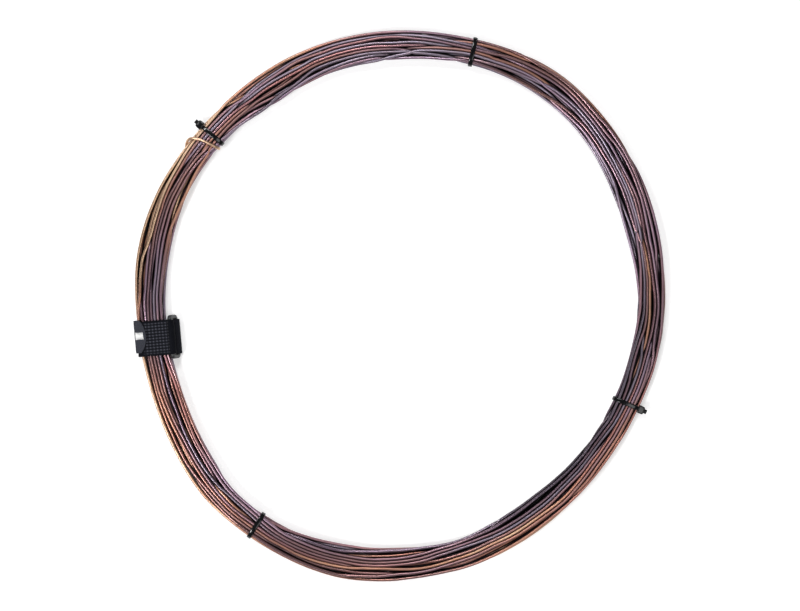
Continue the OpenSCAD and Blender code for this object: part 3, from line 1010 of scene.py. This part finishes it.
def make_strap():
    """The tape with its hooks: its parts, middle line, normals, how far askew it lies at each point, and how
    much each vertex shows of the lighter colour: a painted glint on the hooks, the loops' fuzz elsewhere."""
    line, tip = strap_line()
    count = len(line)
    step = np.arange(count)
    normal = left_normals(line)
    s = STRAP_STEP * step
    # the end that turns back round the lower bar lies a little askew on the first layer, and narrows
    turn = np.argmin(line[:, 0] + 100 * (step < count * 0.4))
    back = np.clip((s - s[turn]) / TIP_RUN, 0, 1)
    askew = TIP_ASKEW * back ** 2 * (3 - 2 * back)
    x = line[:, 0]
    top_layer = (step > count * 0.8) & (line[:, 1] > 0)
    dx = np.clip(x - tip[0], 0, None)
    rounded = np.sqrt(np.clip(TIP_R ** 2 - np.clip(TIP_R - dx, 0, None) ** 2, 0.04, None))
    half = np.where(top_layer & (dx < 5), rounded, STRAP_W / 2)
    half = np.minimum(half, STRAP_W / 2 - TIP_NARROW * back)
    w = np.linspace(-1, 1, ACROSS)
    # the woven edge bulges: across and up, as shares of half the width and of the thickness
    edge = np.array([(1.006, 0.30), (1.010, 0.0), (1.006, -0.30)])
    edge_rise = edge[:, 1] * STRAP_T / 2 * 1.6
    # hooks: a grid of small bumps on the outer face of the first layer, where the tip fastens
    first = (step < count * 0.5) & (line[:, 1] > 0)
    rise, fall = np.exp(-(x - HOOKS_FROM) / 0.35), np.exp((x - HOOKS_TO) / 0.4)
    patch = np.where(first, 1 / (1 + rise) / (1 + fall), 0)
    rng = np.random.default_rng(5)
    around = 2 * ACROSS + 2 * len(edge)
    rings = np.empty((count, around, 3))
    uvs = np.empty((count, around, 2))
    pile_and_glint = np.zeros((count, around))
    height = STRAP_T / 2 * np.where(np.abs(w) > 0.93, 0.94, 1.0)
    wobble = rng.normal(0, 1, (count, ACROSS))
    for _ in range(2):
        wobble = (wobble + np.roll(wobble, 1, 0) + np.roll(wobble, 1, 1)) / 2
    for i in range(count):
        flat = w * half[i]
        clear = np.clip((STRAP_W / 2 - HOOK_MARGIN - np.abs(flat)) / 0.5, 0, 1)
        row, column = ridge(s[i], HOOK_ALONG, 0.32), ridge(flat + 0.1, HOOK_ACROSS, 0.36)
        knob = row * column
        hooks = RIB * np.maximum(row, column) + KNOB * knob - 0.12
        top = height + patch[i] * clear * hooks + 0.018 * wobble[i]
        ring_w = np.concatenate([flat, edge[:, 0] * half[i], flat[::-1], -edge[::-1, 0] * half[i]])
        ring_h = np.concatenate([top, edge_rise, -height[::-1], edge_rise[::-1]])
        pile_and_glint[i] = BACK_PILE * back[i]
        # painted glint on the tops and ridges of the hooks
        pile_and_glint[i, :ACROSS] = patch[i] * clear * (0.75 * knob + 0.16 * column)
        pile_and_glint[i, ACROSS + len(edge):2 * ACROSS + len(edge)] = BACK_PILE * back[i] + UNDER_PILE
        rings[i, :, :2] = line[i] + ring_h[:, None] * normal[i]
        rings[i, :, 2] = ring_w + askew[i]
        uvs[i, :, 0] = s[i] * MM
        uvs[i, :, 1] = ring_w * MM
    parts = Parts()
    verts, faces, _ = swept(rings, False)
    corners = uvs.reshape(-1, 2)
    parts.add(verts, faces, [tuple(corners[i]) for f in faces for i in f])
    return parts, line, normal, askew, pile_and_glint


def thread(parts, points, radius, mat, sides=6):
    """A round thread along points [n, 3]."""
    t = directions(points)
    n = np.cross(t, (0.3, 0.2, 1.0))
    n /= np.linalg.norm(n, axis=1)[:, None]
    verts, faces, uvs = swept(round_rings(points, n, np.cross(t, n), radius, sides), False)
    parts.add(verts, faces, uvs, mat)


def on_strap(line, normal, index, w, out):
    """Points on the strap's face: index along it, w across it, out from its middle."""
    i = np.clip(np.asarray(index, float), 0, len(line) - 1)
    k = np.arange(len(line))
    p = np.stack([np.interp(i, k, line[:, c] + out * normal[:, c]) for c in range(2)], -1)
    return np.column_stack([p, np.broadcast_to(w, len(p))])


def build_strap():
    """The strap with its stitches."""
    parts, line, normal, askew, pile_and_glint = make_strap()
    count = len(line)
    # bar tack near the tip: pale zigzag stitches
    first = count - 1 - int(TACK_BACK / STRAP_STEP)
    steps = np.arange(TACK_STEPS)
    zigzag = askew[-1] + 0.4 + np.where(steps % 2, TACK_HALF, -TACK_HALF)
    tack = on_strap(line, normal, first - steps, zigzag, -STRAP_T / 2 - 0.06)
    thread(parts, resample(tack, 0.25), TACK_THREAD, 1)
    # a row of stitches across the strap where its sewn end lies under it
    start = line[:int(count * 0.4)]
    seam = np.argmin(np.abs(start[:, 0] + SEAM_AT) + 10 * (start[:, 1] < 0))
    for k in np.arange(-8.2, 8.3, SEAM_STITCH):
        ws = np.linspace(-0.5, 0.5, 7)
        lift = STRAP_T / 2 + 0.09 * np.cos(ws * np.pi)
        pts = on_strap(line, normal, np.full(7, seam), k + ws, 0.0)
        pts[:, :2] += lift[:, None] * normal[seam]
        thread(parts, pts, SEAM_THREAD, 2)
    obj = parts.build("strap_tape", strap_frame(), [FABRIC, PALE_THREAD, DARK_THREAD])
    set_values(obj, "pile_and_glint", np.pad(pile_and_glint.ravel(), (0, len(obj.data.vertices) - pile_and_glint.size)))
    sharpen(obj, 50)
    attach(obj, "root")
    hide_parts("strap")


def build_buckle():
    """A rectangular ring of moulded plastic, its corners rounded."""
    upper, lower = strap_bars()
    v = lower - upper
    long, half, corner = float(np.hypot(*v)), STRAP_W / 2 + SIDE_GAP + BAR_D / 2, 1.3
    loop = closed_line(rounded_frame(long / 2, half, corner, 9) + (long / 2, 0), 0.5)
    parts = Parts()
    parts.add(*bar_along(loop, loop_normals(loop), squircle(BAR_D / 2, BAR_D / 2, 20, 3.2), flat=(0, 2)))
    turn = (Matrix.Translation((float(upper[0]), float(upper[1]), 0))
            @ Matrix.Rotation(math.atan2(v[1], v[0]), 4, "Z"))
    obj = parts.build("buckle_ring", strap_frame() @ turn, [PLASTIC])
    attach(obj, "root")
    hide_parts("buckle")


build_strap()
build_buckle()


# -------------------- floor, light, camera
VIEW_WIDTH = 0.440  # how much of the floor the picture shows across, in metres
LENS, SENSOR = 100, 36
CAMERA_UP = 0.006  # the view has that width at this height
LIGHTS = (("left_softbox", (-0.95, -0.62, 1.5), 0.5, 20), ("top_softbox", (-0.2, 1.0, 1.5), 0.5, 13),
          ("side_lamp", (-1.05, 0.9, 1.5), 0.2, 6), ("overhead_softbox", (0.7, -0.5, 1.8), 1.0, 9))


def lay_floor():
    """A plain white floor."""
    bpy.ops.mesh.primitive_plane_add(size=6, location=(0, 0, -0.0002))
    floor = bpy.context.object
    floor.name = "floor"
    mat, tree, shader = material("floor_white")
    pos = node(tree, "ShaderNodeTexCoord").outputs["Object"]
    colour = ramp(tree, noise(tree, pos, 3.0), [(0.3, grey(0.70)), (0.7, grey(0.72))])
    feed(tree, shader, {"Base Color": colour, "Roughness": 0.9, "Emission Color": (1, 1, 1, 1),
                        "Emission Strength": 0.46})
    floor.data.materials.append(mat)


def light_studio():
    """A faint white surround and soft lamps, each turned to the coil's middle."""
    world = bpy.data.worlds.new("studio")
    bpy.context.scene.world = world
    world.use_nodes = True
    feed(world.node_tree, world.node_tree.nodes["Background"], {"Color": (1, 1, 1, 1), "Strength": 0.10})
    for name, spot, size, watts in LIGHTS:
        data = bpy.data.lights.new(name, "AREA")
        data.shape = "SQUARE"
        data.size = size
        data.energy = watts
        obj = bpy.data.objects.new(name, data)
        obj.location = spot
        obj.rotation_euler = (-Vector(spot)).to_track_quat("-Z", "Y").to_euler()
        bpy.context.scene.collection.objects.link(obj)


def place_camera():
    """Straight above the coil's middle, +Y up in the picture."""
    data = bpy.data.cameras.new("camera")
    cam = bpy.data.objects.new("camera", data)
    bpy.context.scene.collection.objects.link(cam)
    data.sensor_width = SENSOR
    data.lens = LENS
    data.clip_end = 20
    cam.location = (0, 0, VIEW_WIDTH * LENS / SENSOR + CAMERA_UP)
    cam.rotation_euler = (0, 0, 0)
    bpy.context.scene.camera = cam


lay_floor()
light_studio()
place_camera()
bpy.context.scene.view_settings.view_transform = "Standard"
bpy.context.scene.view_settings.look = "None"
